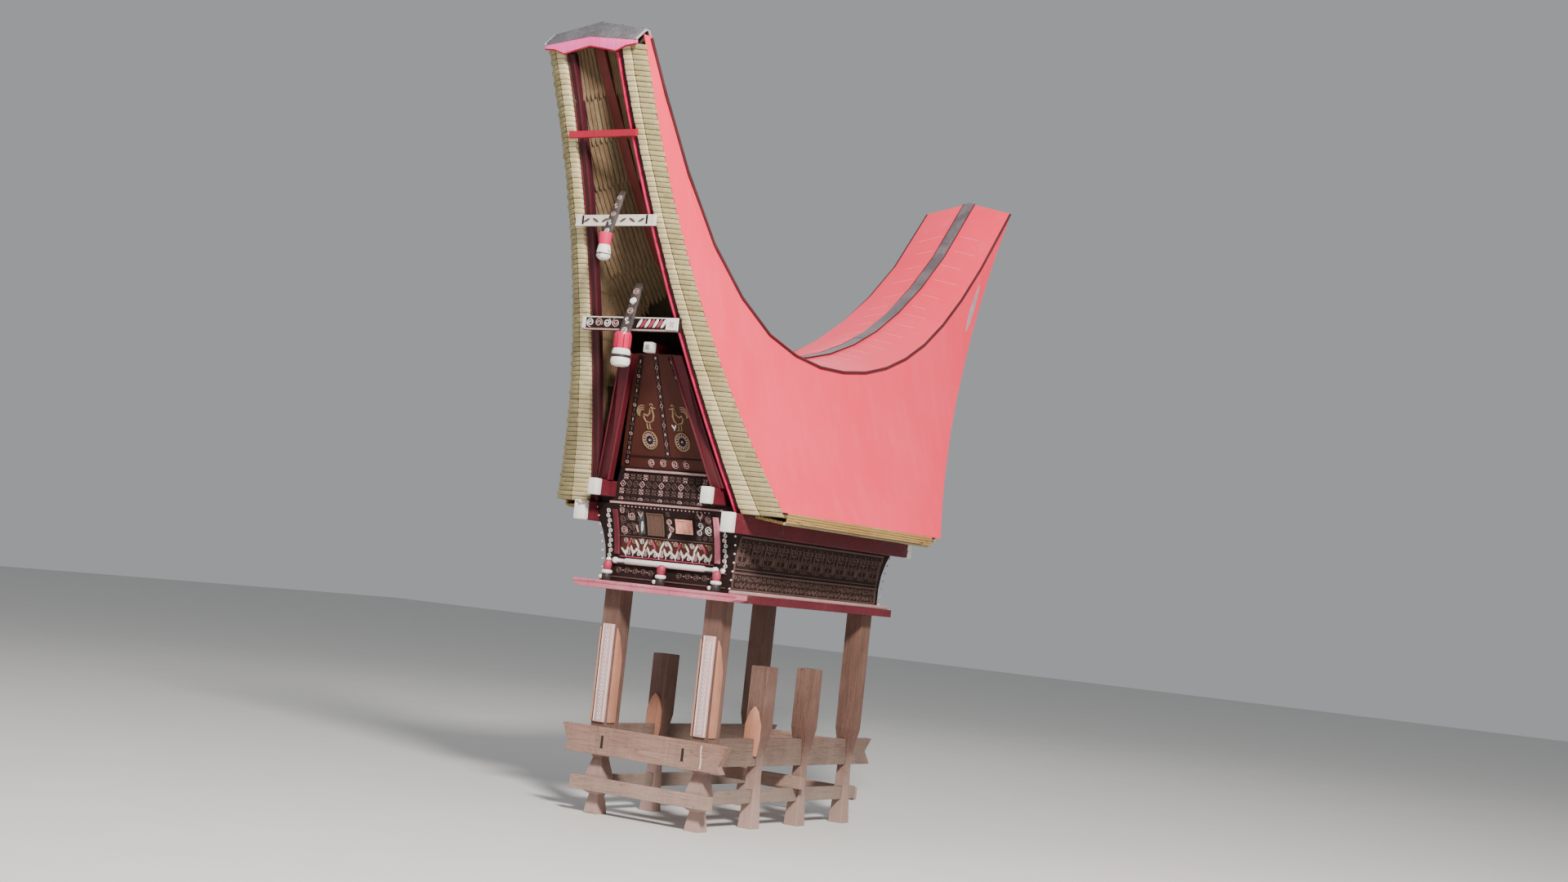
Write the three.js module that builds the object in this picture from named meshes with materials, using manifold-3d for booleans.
// A small tongkonan-shaped house bier: a carved box house on posts under a boat-shaped roof.
// Millimetres, +Z up. The front, with the high peak and the carved gable, faces -Y.
import * as THREE from 'three';
import { mergeVertices } from 'three/addons/utils/BufferGeometryUtils.js';
import Module from 'manifold-3d';

const wasm = await Module();
wasm.setup();

// Clearance between pieces that touch, and between curved sheets and what backs them
const TOUCH = 0.3;
const SHEET_TOUCH = 7;

// Posts
const POST_X = 389;
const POST_ROWS = [-860, -265, 287, 860];
const POST_HALF = 62.5;
const SHORT_POST_TOP = 1030;
// Half widths of a post at heights up to where it is full: pinched about the rail, or one long waist
const FRONT_POST_FOOT = [[52, 0], [50, 25], [36, 122], [62, 138], [62, 245], [36, 352], [POST_HALF, 400]];
const WAISTED_FOOT = [[52, 0], [50, 30], [38, 240], [34, 400], [34, 450], [POST_HALF, 640]];

// Floor, walls and the beams that carry the roof
const FLOOR_TOP = 1470;
const FLOOR_THICK = 50;
const FLOOR_HALF_WIDTH = 540;
const FLOOR_FRONT = -930;
const FLOOR_BACK = 1030;
const PLANK_HALF_WIDTH = 633;
const PLANK_FRONT = -1040;
const PLANK_CHAMFER = { in: 60, up: 18 };
const WALL_THICK = 36;
const WALL_HALF_WIDTH = 477;
const WALL_HALF_DEPTH = 928;
const TIER_TOP = 1605;
const FLARE_TOP = 1960;
const FLARE_POWER = 1.7;
const FLARE_STEPS = 4;
const SIDE_FLARE = 75;
const END_FLARE = 90;
const PLATE_BOTTOM = 1840;
const PLATE_TOP = 1960;
const PLATE_INNER = 528;
const PLATE_OUTER = 598;
const PLATE_FRONT = -1150;
const PLATE_BACK = 1120;
const BEAM_INNER = 400;
const BEAM_BOTTOM = 2000;
const BEAM_OUTER = 460;
const BEAM_TOP = 2100;
const BEAM_FRONT = -1210;
const BEAM_BACK = 1110;

// Shutters in the front wall: their edges, and how far they stand proud and how thin they are
const SHUTTERS = [
  { name: 'left_shutter', x0: -140, x1: -12, z0: 1778, z1: 1918 },
  { name: 'right_shutter', x0: 80, x1: 210, z0: 1806, z1: 1894 },
];
const SHUTTER_PROUD = 6;
const SHUTTER_SET_BACK = 16;
const OPENING_REACH = 60;

// Boards and rails between the posts
const BOARD = { thick: 50, bottom: 395, top: 570, start: -905, tail: 1160, notch: 75 };
const CROSS_BOARD = { bottom: 376, top: 550, half: 636, lowHalf: 606, notchHalf: 575, notchUp: 45 };
const RAIL = { thick: 45, bottom: 160, top: 245, start: -900, tail: 1010 };
const CROSS_RAIL = { thick: 48, bottom: 146, top: 232, frontHalf: 536, rearHalf: 400 };
const MIDDLE_RAIL = { thick: 46, high: 80, back: 232, half: 470 };

// Roof: outline of its sides, of its two raked ends and of the saddle curve between them
const EAVE_Z = 1991;
const ROOF_RISE = 2549;
const ROOF_HALF = { peak: 353, spread: 507, power: 2.23 };
const INNER_HALF = { peak: 215, spread: 365, power: 1.84 };
const FRONT_END = {
  eave: -994, rake: -1180, bulge: 0, out: -1, peakY: -2150, bandTop: 4560, bargeTop: 4535, sheet: 0,
};
const BACK_END = {
  eave: 990, rake: 1530, bulge: 60, out: 1, peakY: 2560, bandTop: 4340, bargeTop: 4320, sheet: 50,
};
const SHOULDER = [
  [-2150, 4620], [-1900, 4250], [-1609, 3840], [-1335, 3508], [-1046, 3254], [-761, 3090], [-426, 3006],
  [-150, 2982], [301, 3018], [769, 3136], [1249, 3348], [1713, 3662], [2142, 4058], [2560, 4568],
];
const CREST = 80;
const SHEET = 6;
const TOP_EDGE = 30;
const DRIP = 8;
const BAND_FRONT = 60;
const BAND_BACK = 100;
const BAND_SPLIT = 0.5;
const BAND_TIP = 2;
const UNDERCUT = 44;
const UNDERCUT_FROM = 0.22;
const TOP_EDGE_FROM = 0.62;
const ROWS = 10;
const BAYS = 14;

// Roof trim
const BARGE = { width: 58, front: 30, back: 10, touch: 2 };
const CAP = { half: 340, thick: 16, reach: 0.5, deep: 80, crest: 102, ends: 42, lipCrest: -10, lipEnds: -47 };
const FASCIA = { thick: 14, clear: 2, ends: -64, lows: -100, lowX: 190, notch: -62 };
const PEAK_BOARD = { thick: 18, half: 335, low: -90 };
const RIDGE_STRIP = { half: 48, thick: 5, lift: 3 };
const GABLE = { base: 2200, baseHalf: 385, topHalf: 150, lean: 0.42, panel: 25 };
const STRUT = { width: 94, thick: 45, footX: 437, footY: -1055, headX: 190, head: 2880 };
const FRIEZE = { thick: 38, front: 1000, foot: 500, topHalf: 380 };
const RIDGE_BEAM = { half: 30, top: 2947, front: -1370, back: 1330 };
const TIES = [
  { name: 'top_tie', z: 4085, high: 42, half: 250, thick: 22, colour: 'crimson' },
  { name: 'middle_tie', z: 3610, high: 66, half: 295, thick: 22, colour: 'white' },
  { name: 'lower_tie', z: 3026, high: 84, half: 365, thick: 28, colour: 'white' },
];
const NECKS = [
  {
    name: 'front_upper_neck', tie: 1, top: 3800, bottom: 3495, half: 34, thick: 20, lean: 0.4,
    head: [[0, 3355], [30, 3358], [44, 3385], [40, 3415], [34, 3450], [40, 3490], [42, 3512], [0, 3520]],
  },
  {
    name: 'front_lower_neck', tie: 2, top: 3285, bottom: 2935, half: 44, thick: 24, lean: 0.3,
    head: [[0, 2757], [52, 2760], [60, 2790], [54, 2835], [46, 2870], [52, 2925], [54, 2958], [0, 2968]],
  },
];
const HEAD_SIDES = 12;

// Each finish: colour, roughness and metalness
const PALETTE = {
  roof: [0xd9444b, 0.45, 0.1],
  bamboo: [0xb9ac75, 0.9, 0],
  straw: [0x8d7448, 0.9, 0],
  post: [0xa5826c, 0.85, 0],
  board: [0xb08a72, 0.85, 0],
  darkRed: [0x6b1f22, 0.7, 0],
  crimson: [0xa52038, 0.6, 0],
  carved: [0x2e211f, 0.8, 0],
  gable: [0x742e22, 0.8, 0],
  metal: [0x6f6a70, 0.5, 0.4],
  pink: [0xc9596b, 0.7, 0],
  white: [0xd8d4cc, 0.7, 0],
};

const lerp = (a, b, t) => a + (b - a) * t;

/** Height above the eave as a share of the roof's rise. */
const rise = (z) => (z - EAVE_Z) / ROOF_RISE;

/** Half width of the roof's outline at height z. */
function halfWidth(line, z) {
  return line.peak + line.spread * Math.pow(Math.max(1 - rise(z), 0), line.power);
}

/** Y of a raked end of the roof at height z. */
function endLine(end, z) {
  const t = rise(z);
  return end.eave + end.rake * t + end.bulge * Math.sin(Math.PI * Math.min(Math.max(t, 0), 1));
}

/** Slope of the shoulder line at one of its points. */
function shoulderSlope(i) {
  const [y0, z0] = SHOULDER[Math.max(i - 1, 0)];
  const [y1, z1] = SHOULDER[Math.min(i + 1, SHOULDER.length - 1)];
  return (z1 - z0) / (y1 - y0);
}

/** Height of the saddle curve, where the roof's sides meet its top: a smooth line through SHOULDER. */
function saddle(y) {
  let i = 0;
  while (i < SHOULDER.length - 2 && y > SHOULDER[i + 1][0]) i += 1;
  const [[y0, z0], [y1, z1]] = [SHOULDER[i], SHOULDER[i + 1]];
  const span = y1 - y0;
  const t = (y - y0) / span;
  const start = (2 * t ** 3 - 3 * t ** 2 + 1) * z0 + (t ** 3 - 2 * t ** 2 + t) * span * shoulderSlope(i);
  return start + (3 * t ** 2 - 2 * t ** 3) * z1 + (t ** 3 - t ** 2) * span * shoulderSlope(i + 1);
}

/** Height of the roof's shoulders at the peak of an end. */
const peakZ = (end) => saddle(end.peakY);

/** Y where the joint behind an end's edge band comes up under the roof's top layer. */
function jointTop(end) {
  let [low, high] = [EAVE_Z, peakZ(end)];
  while (high - low > 0.01) {
    const z = (low + high) / 2;
    const y = endLine(end, z) - end.out * BAND_BACK;
    if (saddle(y) - TOP_EDGE > z) low = z;
    else high = z;
  }
  return endLine(end, low) - end.out * BAND_BACK;
}

/** Stations along the roof where its sides, top and ridge share their corners. */
const STATIONS = [FRONT_END.peakY];
for (let i = 0; i <= BAYS; i++) STATIONS.push(lerp(jointTop(FRONT_END), jointTop(BACK_END), i / BAYS));
STATIONS.push(BACK_END.peakY);

/** Moves every vertex of a geometry through a map of its coordinates. */
function mapped(geometry, map) {
  const place = geometry.attributes.position;
  for (let i = 0; i < place.count; i++) {
    place.setXYZ(i, ...map(place.getX(i), place.getY(i), place.getZ(i)));
  }
  geometry.computeVertexNormals();
  return geometry;
}

/** A box with its corner at the origin and unit sides, cut into a grid. */
function unitGrid(nx, ny, nz) {
  return new THREE.BoxGeometry(1, 1, 1, nx, ny, nz).translate(0.5, 0.5, 0.5);
}

/** The mirror image of a geometry across the plane x = 0. */
function mirrored(geometry) {
  const copy = geometry.index ? geometry.toNonIndexed() : geometry.clone();
  const place = copy.attributes.position;
  for (let i = 0; i < place.count; i += 3) {
    const corners = [0, 2, 1].map((k) => [place.getX(i + k), place.getY(i + k), place.getZ(i + k)]);
    corners.forEach(([x, y, z], k) => place.setXYZ(i + k, -x, y, z));
  }
  copy.deleteAttribute('uv');
  copy.computeVertexNormals();
  return copy;
}

/** A box between two corners. */
function slab(low, high) {
  const [x, y, z] = high.map((value, i) => value - low[i]);
  const middle = high.map((value, i) => (value + low[i]) / 2);
  return new THREE.BoxGeometry(x, y, z).translate(...middle);
}

/** An outline in X and Z, extruded along Y between two values. */
function boardXZ(points, y0, y1) {
  const outline = new THREE.Shape(points.map(([x, z]) => new THREE.Vector2(x, z)));
  const board = new THREE.ExtrudeGeometry(outline, { depth: y1 - y0, bevelEnabled: false });
  return board.rotateX(Math.PI / 2).translate(0, y1, 0);
}

/** An outline in Y and Z, extruded along X between two values. */
function boardYZ(points, x0, x1) {
  const outline = new THREE.Shape(points.map(([y, z]) => new THREE.Vector2(y, z)));
  const board = new THREE.ExtrudeGeometry(outline, { depth: x1 - x0, bevelEnabled: false });
  return board.rotateX(Math.PI / 2).rotateZ(Math.PI / 2).translate(x0, 0, 0);
}

/** Turns a geometry into a solid that can be cut and joined. */
function toSolid(geometry) {
  const bare = geometry.clone();
  for (const name of Object.keys(bare.attributes)) {
    if (name !== 'position') bare.deleteAttribute(name);
  }
  const merged = mergeVertices(bare, 1e-3);
  const triangles = [];
  for (let i = 0; i < merged.index.count; i += 3) {
    const corners = [0, 1, 2].map((k) => merged.index.getX(i + k));
    if (new Set(corners).size === 3) triangles.push(...corners);
  }
  return new wasm.Manifold(new wasm.Mesh({
    numProp: 3,
    vertProperties: Float32Array.from(merged.attributes.position.array),
    triVerts: Uint32Array.from(triangles),
  }));
}

/** Turns a solid back into a geometry. */
function fromSolid(solid) {
  const mesh = solid.getMesh();
  const geometry = new THREE.BufferGeometry();
  geometry.setAttribute('position', new THREE.BufferAttribute(Float32Array.from(mesh.vertProperties), 3));
  geometry.setIndex(new THREE.BufferAttribute(Uint32Array.from(mesh.triVerts), 1));
  geometry.computeVertexNormals();
  return geometry;
}

/** Cuts a list of geometries out of another. */
function cut(geometry, tools) {
  return fromSolid(tools.reduce((solid, tool) => solid.subtract(toSolid(tool)), toSolid(geometry)));
}

/** Joins overlapping geometries into one. */
function joined(parts) {
  return fromSolid(parts.slice(1).reduce((solid, part) => solid.add(toSolid(part)), toSolid(parts[0])));
}

const house = new THREE.Group();

/** Adds a named piece with its own material. */
function add(name, geometry, finish) {
  const [color, roughness, metalness] = PALETTE[finish];
  const material = new THREE.MeshStandardMaterial({ color, roughness, metalness });
  const mesh = new THREE.Mesh(geometry, material);
  mesh.name = name;
  house.add(mesh);
}

/** Adds a piece on the right and its mirror image on the left. */
function addPair(name, geometry, finish) {
  add(`right_${name}`, geometry, finish);
  add(`left_${name}`, mirrored(geometry), finish);
}

/** A square post turned from a profile of half widths and heights. */
function squarePost(profile, x, y) {
  const closed = [[0, profile[0][1]], ...profile, [0, profile.at(-1)[1]]];
  const points = closed.map(([half, z]) => new THREE.Vector2(half * Math.SQRT2, z));
  return new THREE.LatheGeometry(points, 4).rotateY(Math.PI / 4).rotateX(Math.PI / 2).translate(x, y, 0);
}

/** Outline of a side board in Y and Z: square in front, with a swallowtail behind. */
function sideBoardOutline(grow) {
  const { bottom, top, start, tail, notch } = BOARD;
  const low = bottom - grow;
  const high = top + grow;
  const fork = [tail - notch, (bottom + top) / 2];
  return [[start - grow, low], [tail, low], fork, [tail, high], [start - grow, high]];
}

/** Outline of a side rail in Y and Z. */
function sideRailOutline(grow) {
  const low = RAIL.bottom - grow;
  const high = RAIL.top + grow;
  return [[RAIL.start - grow, low], [RAIL.tail, low], [RAIL.tail, high], [RAIL.start - grow, high]];
}

/** A side board or rail at the posts' centre line, or the mortise for it when grown. */
function sideRunner(outline, thick, grow) {
  return boardYZ(outline(grow), POST_X - thick / 2 - grow, POST_X + thick / 2 + grow);
}

function addPosts() {
  const names = ['front_post', 'front_short_post', 'rear_short_post', 'rear_post'];
  const mortises = [
    sideRunner(sideBoardOutline, BOARD.thick, TOUCH),
    sideRunner(sideRailOutline, RAIL.thick, TOUCH),
  ];
  POST_ROWS.forEach((y, i) => {
    const tall = i === 0 || i === POST_ROWS.length - 1;
    const top = tall ? FLOOR_TOP - FLOOR_THICK - TOUCH : SHORT_POST_TOP;
    const profile = [...(i === 0 ? FRONT_POST_FOOT : WAISTED_FOOT), [POST_HALF, top]];
    addPair(names[i], cut(squarePost(profile, POST_X, y), mortises), 'post');
  });
}

/** The boards between the posts. The front one has forked ends and lies on the front posts. */
function addBoards() {
  const face = POST_ROWS[0] - POST_HALF - TOUCH;
  const { bottom, top, half, lowHalf, notchHalf, notchUp } = CROSS_BOARD;
  add('front_cross_board', boardXZ([
    [-lowHalf, bottom], [lowHalf, bottom], [notchHalf, bottom + notchUp], [half, top],
    [-half, top], [-notchHalf, bottom + notchUp],
  ], face - BOARD.thick, face), 'board');
  const between = POST_X - BOARD.thick / 2 - TOUCH;
  const rear = POST_ROWS.at(-1) + POST_HALF + TOUCH;
  add('rear_cross_board', slab([-between, rear, bottom], [between, rear + BOARD.thick, top]), 'board');
  addPair('side_board', sideRunner(sideBoardOutline, BOARD.thick, 0), 'board');
}

/** The rails low on the posts, and the one that lies across the side rails. */
function addRails() {
  const { thick, bottom, top, frontHalf, rearHalf } = CROSS_RAIL;
  const face = POST_ROWS[0] - POST_HALF - TOUCH;
  add('front_lower_rail', slab([-frontHalf, face - thick, bottom], [frontHalf, face, top]), 'board');
  const rear = RAIL.tail + TOUCH;
  add('rear_lower_rail', slab([-rearHalf, rear, bottom], [rearHalf, rear + thick, top]), 'board');
  const across = MIDDLE_RAIL;
  add('middle_lower_rail', slab(
    [-across.half, across.back - across.thick, RAIL.top + TOUCH],
    [across.half, across.back, RAIL.top + across.high],
  ), 'board');
  addPair('lower_rail', sideRunner(sideRailOutline, RAIL.thick, 0), 'board');
}

function addFloor() {
  const bottom = FLOOR_TOP - FLOOR_THICK;
  add('floor_board', slab(
    [-FLOOR_HALF_WIDTH, FLOOR_FRONT, bottom],
    [FLOOR_HALF_WIDTH, FLOOR_BACK, FLOOR_TOP - TOUCH],
  ), 'darkRed');
  const half = PLANK_HALF_WIDTH;
  const chamfer = PLANK_CHAMFER;
  add('front_plank', boardXZ([
    [-half, bottom + chamfer.up], [chamfer.in - half, bottom],
    [half - chamfer.in, bottom], [half, bottom + chamfer.up],
    [half, FLOOR_TOP - TOUCH], [-half, FLOOR_TOP - TOUCH],
  ], PLANK_FRONT, FLOOR_FRONT - TOUCH), 'pink');
}

/** How far the walls lean out at height z, as a share of their full flare: a hollow curve. */
function flare(z) {
  return Math.pow(Math.min(Math.max((z - TIER_TOP) / (FLARE_TOP - TIER_TOP), 0), 1), FLARE_POWER);
}

/** Heights of a wall's bends, from the floor to its top. */
function wallLevels(top) {
  const levels = [FLOOR_TOP, TIER_TOP];
  for (let i = 1; i <= FLARE_STEPS; i++) levels.push(Math.min(lerp(TIER_TOP, FLARE_TOP, i / FLARE_STEPS), top));
  levels.push(top);
  return [...new Set(levels)];
}

/** Half width of an end wall at height z: it fits inside the wall plates at its top. */
function endWallHalf(z) {
  return z > PLATE_BOTTOM - 1 ? PLATE_INNER - TOUCH : WALL_HALF_WIDTH + SIDE_FLARE * flare(z);
}

/** Y of the outer face of the front wall at height z. */
const endWallFace = (z) => -(WALL_HALF_DEPTH + END_FLARE * flare(z));

function endWall() {
  const levels = wallLevels(PLATE_TOP);
  return mapped(unitGrid(1, 1, levels.length - 1), (u, v, w) => {
    const z = levels[Math.round(w * (levels.length - 1))];
    return [lerp(-1, 1, u) * endWallHalf(z), endWallFace(z) + v * WALL_THICK, z];
  });
}

/** A window or the shutter that closes it, following the slope of the front wall. */
function windowBlock(frame, grow, proud, deep) {
  return mapped(unitGrid(1, 1, 1), (u, v, w) => {
    const z = lerp(frame.z0 - grow, frame.z1 + grow, w);
    const y = endWallFace(z) + lerp(-proud, WALL_THICK + deep, v);
    return [lerp(frame.x0 - grow, frame.x1 + grow, u), y, z];
  });
}

function addWalls() {
  const openings = SHUTTERS.map((frame) => windowBlock(frame, TOUCH, OPENING_REACH, OPENING_REACH));
  add('front_wall', cut(endWall(), openings), 'carved');
  add('rear_wall', endWall().rotateZ(Math.PI), 'carved');
  SHUTTERS.forEach((frame, i) => {
    add(frame.name, windowBlock(frame, 0, SHUTTER_PROUD, -SHUTTER_SET_BACK), i ? 'pink' : 'gable');
  });
  const levels = wallLevels(PLATE_BOTTOM - TOUCH);
  addPair('wall', mapped(unitGrid(1, 1, levels.length - 1), (u, v, w) => {
    const z = levels[Math.round(w * (levels.length - 1))];
    const x = WALL_HALF_WIDTH + SIDE_FLARE * flare(z) - (1 - u) * WALL_THICK;
    return [x, lerp(-1, 1, v) * (-endWallFace(z) - WALL_THICK - TOUCH), z];
  }), 'carved');
}

function addBeams() {
  addPair('wall_plate', slab(
    [PLATE_INNER, PLATE_FRONT, PLATE_BOTTOM],
    [PLATE_OUTER, PLATE_BACK, PLATE_TOP],
  ), 'darkRed');
  addPair('upper_beam', slab(
    [BEAM_INNER, BEAM_FRONT, BEAM_BOTTOM + TOUCH],
    [BEAM_OUTER, BEAM_BACK, BEAM_TOP],
  ), 'darkRed');
  const { half, top, front, back } = RIDGE_BEAM;
  add('ridge_beam', slab([-half, front, top - 2 * half], [half, back, top]), 'darkRed');
}

/** The upright carved board under the gable. The upper beams rest on its wide foot. */
function friezeBoard() {
  const { foot, topHalf, front, thick } = FRIEZE;
  const bottom = PLATE_TOP + TOUCH;
  const wide = BEAM_INNER - TOUCH;
  return boardXZ([
    [-foot, bottom], [foot, bottom], [foot, BEAM_BOTTOM], [wide, BEAM_BOTTOM], [wide, BEAM_TOP],
    [topHalf, GABLE.base], [-topHalf, GABLE.base],
    [-wide, BEAM_TOP], [-wide, BEAM_BOTTOM], [-foot, BEAM_BOTTOM],
  ], -front, thick - front);
}

/** Y of the front face of the gable panel at height z. */
const gableFace = (z) => -FRIEZE.front - GABLE.lean * (z - GABLE.base);

/** The leaning gable panel, cut level on the frieze and under the ridge beam. */
function gablePanel() {
  const top = RIDGE_BEAM.top - 2 * RIDGE_BEAM.half - TOUCH;
  return mapped(unitGrid(1, 1, 1), (u, v, w) => {
    const z = lerp(GABLE.base + TOUCH, top, w);
    return [lerp(-1, 1, u) * lerp(GABLE.baseHalf, GABLE.topHalf, w), gableFace(z) + v * GABLE.panel, z];
  });
}

/** A strut from the end of an upper beam up to the head of the gable panel. */
function gableStrut() {
  return mapped(unitGrid(1, 1, 1), (u, v, w) => {
    const x = lerp(STRUT.footX, STRUT.headX, w) + (u - 0.5) * STRUT.width;
    const y = lerp(STRUT.footY, gableFace(STRUT.head) - TOUCH, w) - (1 - v) * STRUT.thick;
    return [x, y, lerp(BEAM_TOP + TOUCH, STRUT.head, w)];
  });
}

function addGables() {
  add('front_frieze', friezeBoard(), 'carved');
  add('rear_frieze', friezeBoard().rotateZ(Math.PI), 'carved');
  add('front_gable', gablePanel(), 'gable');
  add('rear_gable', gablePanel().rotateZ(Math.PI), 'gable');
  addPair('gable_strut', gableStrut(), 'darkRed');
}

const LAYER_BOTTOM = PLATE_TOP + TOUCH;

/** A line up an end of the roof between two heights, at a distance out from its edge. */
function rakeAlong(end, offset, bottomZ, topZ) {
  return (w) => {
    const z = lerp(bottomZ, topZ, w);
    return [endLine(end, z) + end.out * offset, z];
  };
}

/** The rake where an edge band meets the bamboo layer behind it. */
function bandJoint(end, gap) {
  const topZ = saddle(jointTop(end)) - TOP_EDGE - TOUCH;
  return rakeAlong(end, gap - BAND_BACK, LAYER_BOTTOM, topZ);
}

/** Rakes up the side of the roof, one for each station, between two end rakes. */
function sideRakes(first, last, tops, topDrop) {
  const [frontY, bottomZ] = first(0);
  const [backY] = last(0);
  return tops.map((topY, i) => {
    const share = i / (tops.length - 1);
    if (share === 0) return first;
    if (share === 1) return last;
    const topZ = saddle(topY) - topDrop;
    return (w) => {
      const z = lerp(bottomZ, topZ, w);
      const bulge = BACK_END.bulge * share * share * Math.sin(Math.PI * Math.max(rise(z), 0));
      return [lerp(lerp(frontY, backY, share), topY, w) + (w < 1 ? bulge : 0), z];
    };
  });
}

/** A curved slab on the roof's right side, from its rakes and its inner and outer half widths. */
function sideSlab(rakes, inner, outer, shares = [0, 1], undercut = 0) {
  const cells = [shares.length - 1, rakes.length - 1, ROWS];
  return mapped(unitGrid(...cells), (u, v, w) => {
    const share = shares[Math.round(u * cells[0])];
    const rake = rakes[Math.round(v * cells[1])];
    const [y, z] = rake(w);
    const x = lerp(inner(z), outer(z), share);
    if (w > 0 || v === 0 || v === 1 || share <= shares[1]) return [x, y, z];
    const [, topZ] = rake(1);
    const drop = undercut * (share - shares[1]);
    return [x, ...rake(-drop / (topZ - z))];
  });
}

const bambooOuter = (z) => halfWidth(ROOF_HALF, z) - SHEET - SHEET_TOUCH;
const bambooInner = (z) => halfWidth(INNER_HALF, z);

function addBambooSides() {
  const tops = STATIONS.slice(1, -1);
  const rakes = sideRakes(bandJoint(FRONT_END, 0), bandJoint(BACK_END, 0), tops, TOP_EDGE + TOUCH);
  addPair('roof_bamboo', sideSlab(rakes, bambooInner, bambooOuter, [0, UNDERCUT_FROM, 1], UNDERCUT), 'straw');
}

/** An edge band: a front layer, a bevel back to the roof sheet, and a back face on the bamboo. */
function edgeBand(end) {
  const edge = (offset) => rakeAlong(end, offset, LAYER_BOTTOM, end.bandTop);
  const rakes = [edge(BAND_FRONT), edge(BAND_TIP), bandJoint(end, TOUCH)];
  const corners = [[0, 0], [BAND_SPLIT, 0], [1, 1], [1, 2], [0, 2]];
  const outline = new THREE.Shape(corners.map(([a, b]) => new THREE.Vector2(a, b)));
  const rod = new THREE.ExtrudeGeometry(outline, { depth: 1, steps: ROWS, bevelEnabled: false });
  const band = mapped(rod, (a, b, w) => {
    const [y, z] = rakes[Math.round(b)](w);
    return [lerp(bambooInner(z), bambooOuter(z), a), y, z];
  });
  return end.out < 0 ? band : turned(band);
}

/** Turns the triangles of a geometry over, for a shape made by a map that mirrors. */
function turned(geometry) {
  return mirrored(geometry).scale(-1, 1, 1);
}

function addBands() {
  addPair('front_band', edgeBand(FRONT_END), 'bamboo');
  addPair('rear_band', edgeBand(BACK_END), 'bamboo');
}

function addSideSheets() {
  const edge = (end) => rakeAlong(end, end.sheet, EAVE_Z, peakZ(end));
  const rakes = sideRakes(edge(FRONT_END), edge(BACK_END), [0, ...STATIONS, 0], 0);
  const outer = (z) => halfWidth(ROOF_HALF, z);
  addPair('roof_sheet', sideSlab(rakes, (z) => outer(z) - SHEET, outer), 'roof');
}

/** A folded slab along the top of the roof, from a list of shares of its half width. */
function topSlab(stations, shares, section) {
  const cells = [shares.length - 1, stations.length - 1, 1];
  return mapped(unitGrid(...cells), (u, v, w) => {
    const share = shares[Math.round(u * cells[0])];
    const y = stations[Math.round(v * cells[1])];
    const { half, bottom, top } = section(y, share);
    return [share * half, y, w < 0.5 ? bottom : top];
  });
}

function addTop() {
  add('roof_top_bamboo', topSlab(STATIONS, [-1, -TOP_EDGE_FROM, 0, TOP_EDGE_FROM, 1], (y, share) => {
    const edge = saddle(y);
    return {
      half: bambooOuter(edge),
      bottom: edge - TOP_EDGE + (share === 0 ? TOP_EDGE : 0),
      top: edge + CREST * (1 - Math.abs(share)) - (share === 0 ? 0 : SHEET_TOUCH),
    };
  }), 'straw');
  add('roof_top_sheet', topSlab(STATIONS, [-1, 0, 1], (y, share) => {
    const half = halfWidth(ROOF_HALF, saddle(y));
    const bottom = saddle(y) + TOUCH + CREST * (1 - (Math.abs(share) * (half + DRIP)) / half);
    return { half: half + DRIP, bottom, top: bottom + SHEET };
  }), 'roof');
  const { half, thick, lift } = RIDGE_STRIP;
  add('ridge_strip', topSlab(STATIONS.slice(1), [-1, 0, 1], (y, share) => {
    const fall = (CREST * half) / halfWidth(ROOF_HALF, saddle(y)) - lift;
    const bottom = saddle(y) + CREST + SHEET + 2 * TOUCH - fall * Math.abs(share);
    return { half, bottom, top: bottom + thick };
  }), 'metal');
}

/** The metal cap bent over the front peak, with a fascia board with a zigzag edge under its lip. */
function frontCap() {
  const end = FRONT_END;
  const shoulder = peakZ(end);
  const face = endLine(end, end.bandTop) - BAND_FRONT - FASCIA.clear;
  const lip = face - FASCIA.thick - FASCIA.clear;
  const back = [end.peakY, jointTop(end)];
  const tent = (share, crest, ends) => lerp(crest, ends, Math.abs(share));
  const sheet = (share) => 2 * TOUCH + SHEET + CREST * (1 - (Math.abs(share) * CAP.half) / ROOF_HALF.peak);
  const hood = (share) => tent(share, CAP.crest, CAP.ends);
  const sections = [
    { y: lip, z: shoulder, low: (share) => tent(share, CAP.lipCrest, CAP.lipEnds), thick: CAP.thick },
    { y: lip + CAP.deep, z: shoulder, low: (share) => hood(share) - CAP.thick, thick: CAP.thick },
    { y: end.peakY, z: shoulder, low: sheet, high: hood },
    { y: lerp(...back, CAP.reach), z: lerp(...back.map(saddle), CAP.reach), low: sheet, thick: CAP.thick },
  ];
  const cap = mapped(unitGrid(2, sections.length - 1, 1), (u, v, w) => {
    const { y, z, low, high, thick } = sections[Math.round(v * (sections.length - 1))];
    const share = lerp(-1, 1, u);
    const top = high ? high(share) : low(share) + thick;
    return [share * CAP.half, y, z + lerp(low(share), top, w)];
  });
  const half = CAP.half - FASCIA.clear;
  const { ends, lows, lowX, notch, thick } = FASCIA;
  const fascia = boardXZ([
    [-half, shoulder + ends], [-lowX, shoulder + lows], [0, shoulder + notch], [lowX, shoulder + lows],
    [half, shoulder + ends], [half, shoulder + CAP.lipEnds + CAP.thick / 2],
    [0, shoulder + CAP.lipCrest + CAP.thick / 2], [-half, shoulder + CAP.lipEnds + CAP.thick / 2],
  ], face - thick, face);
  return joined([cap, fascia]);
}

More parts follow.
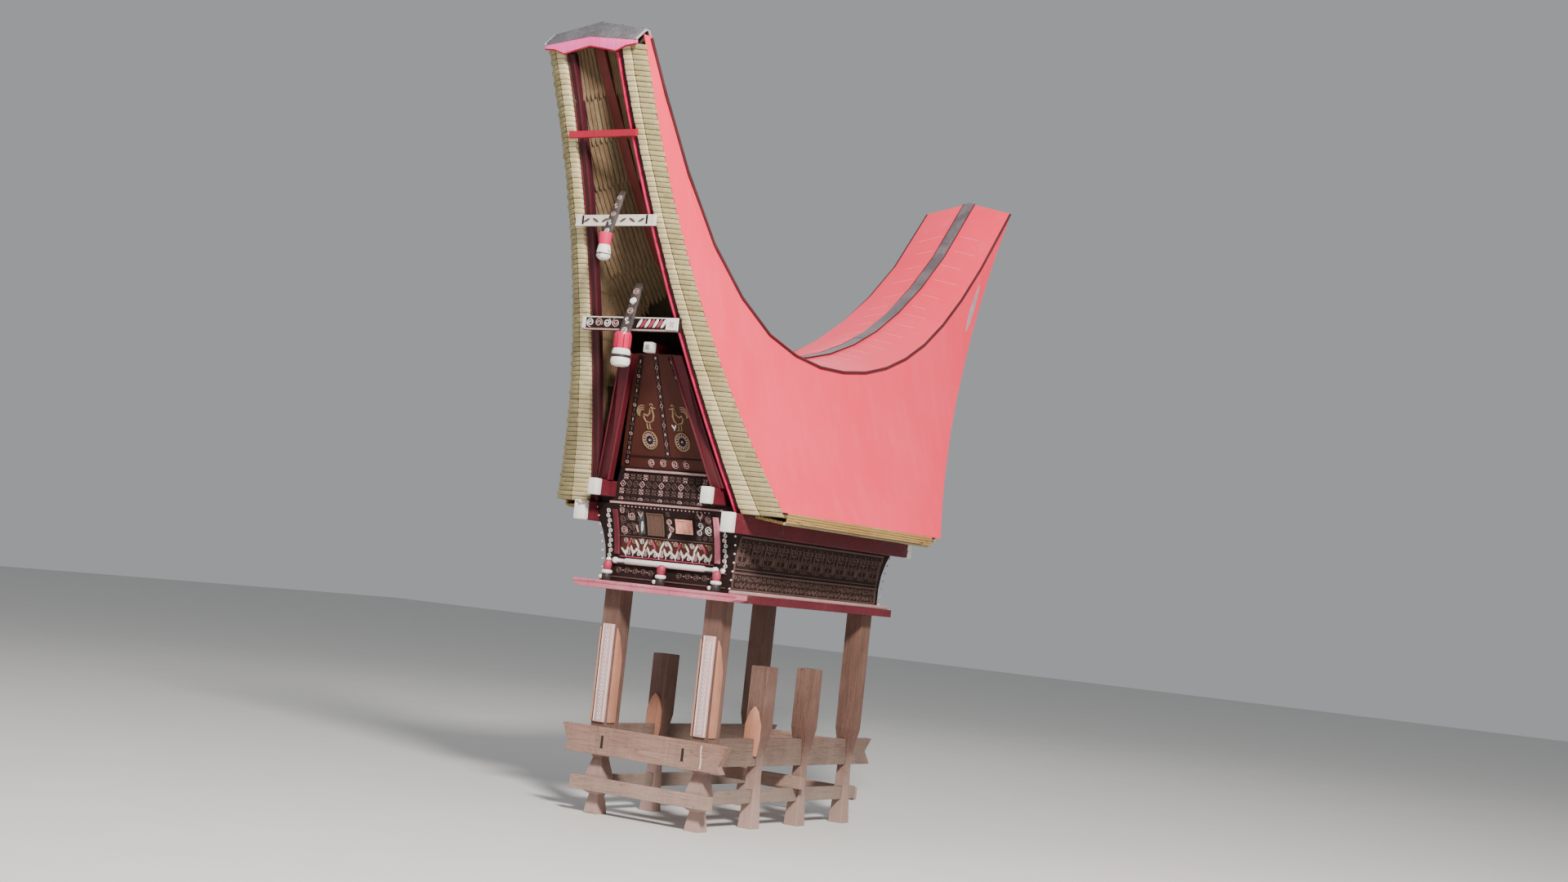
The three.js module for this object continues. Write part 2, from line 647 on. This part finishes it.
/** The board that closes the roof's top layer at the rear peak. */
function peakBoard() {
  const shoulder = peakZ(BACK_END);
  const { half, low, thick } = PEAK_BOARD;
  const edge = CREST * (1 - half / ROOF_HALF.peak);
  const face = BACK_END.peakY + TOUCH;
  return boardXZ([
    [-half, shoulder + low], [half, shoulder + low], [half, shoulder + edge], [0, shoulder + CREST],
    [-half, shoulder + edge],
  ], face, face + thick);
}

function addPeaks() {
  add('front_peak_cap', frontCap(), 'metal');
  add('rear_peak_board', peakBoard(), 'crimson');
}

/** The barge rafter along the inner edge of a band, standing on the wall plate. */
function barge(end) {
  const edge = (offset) => rakeAlong(end, offset, LAYER_BOTTOM, end.bargeTop);
  const rakes = [edge(BARGE.front), edge(-BARGE.back)];
  const ordered = end.out < 0 ? rakes : rakes.reverse();
  const outer = (z) => bambooInner(z) - BARGE.touch;
  return sideSlab(ordered, (z) => outer(z) - BARGE.width, outer);
}

function addBarges() {
  addPair('front_barge', barge(FRONT_END), 'crimson');
  addPair('rear_barge', barge(BACK_END), 'crimson');
}

/** Y of an end of the roof at height z, on the facets of a piece that is cut into rows up to its top. */
function facetLine(end, z, topZ) {
  const level = (row) => lerp(LAYER_BOTTOM, topZ, row / ROWS);
  const row = ((z - LAYER_BOTTOM) / (topZ - LAYER_BOTTOM)) * ROWS;
  const below = Math.floor(row);
  return lerp(endLine(end, level(below)), endLine(end, level(below + 1)), row - below);
}

/** A level tie board across an end of the roof, against its edge bands. */
function tie(end, spec) {
  const face = facetLine(end, spec.z + spec.high / 2, end.bandTop) + end.out * (BAND_FRONT + TOUCH);
  const faces = [face, face + end.out * spec.thick].sort((a, b) => a - b);
  return slab([-spec.half, faces[0], spec.z - spec.high / 2], [spec.half, faces[1], spec.z + spec.high / 2]);
}

function addTies() {
  for (const spec of TIES) {
    add(`front_${spec.name}`, tie(FRONT_END, spec), spec.colour);
    if (spec.name !== 'middle_tie') add(`rear_${spec.name}`, tie(BACK_END, spec), 'darkRed');
  }
}

/** A carved neck that leans out over a tie and ends in a hanging head. */
function neck(spec, onTie) {
  const tieTop = onTie.z + onTie.high / 2;
  const face = endLine(FRONT_END, tieTop) - BAND_FRONT - 2 * TOUCH - onTie.thick;
  const back = (z) => face + spec.lean * (z - tieTop);
  const board = boardYZ([
    [back(spec.top) - spec.thick, spec.top], [back(spec.bottom) - spec.thick, spec.bottom],
    [back(spec.bottom), spec.bottom], [back(spec.top), spec.top],
  ], -spec.half, spec.half);
  const profile = spec.head.map(([radius, z]) => new THREE.Vector2(radius, z));
  const head = new THREE.LatheGeometry(profile, HEAD_SIDES).rotateX(Math.PI / 2)
    .translate(0, back(spec.bottom) - spec.thick / 2, 0);
  return joined([board, head]);
}

addPosts();
addBoards();
addRails();
addFloor();
addWalls();
addBeams();
addGables();
addBambooSides();
addBands();
addSideSheets();
addTop();
addPeaks();
addBarges();
addTies();
for (const spec of NECKS) add(spec.name, neck(spec, TIES[spec.tie]), 'darkRed');

// The origin lies on the ground under the middle of the whole house, overhangs included
const reach = new THREE.Box3().setFromObject(house);
house.position.y = -(reach.min.y + reach.max.y) / 2;

export default house;
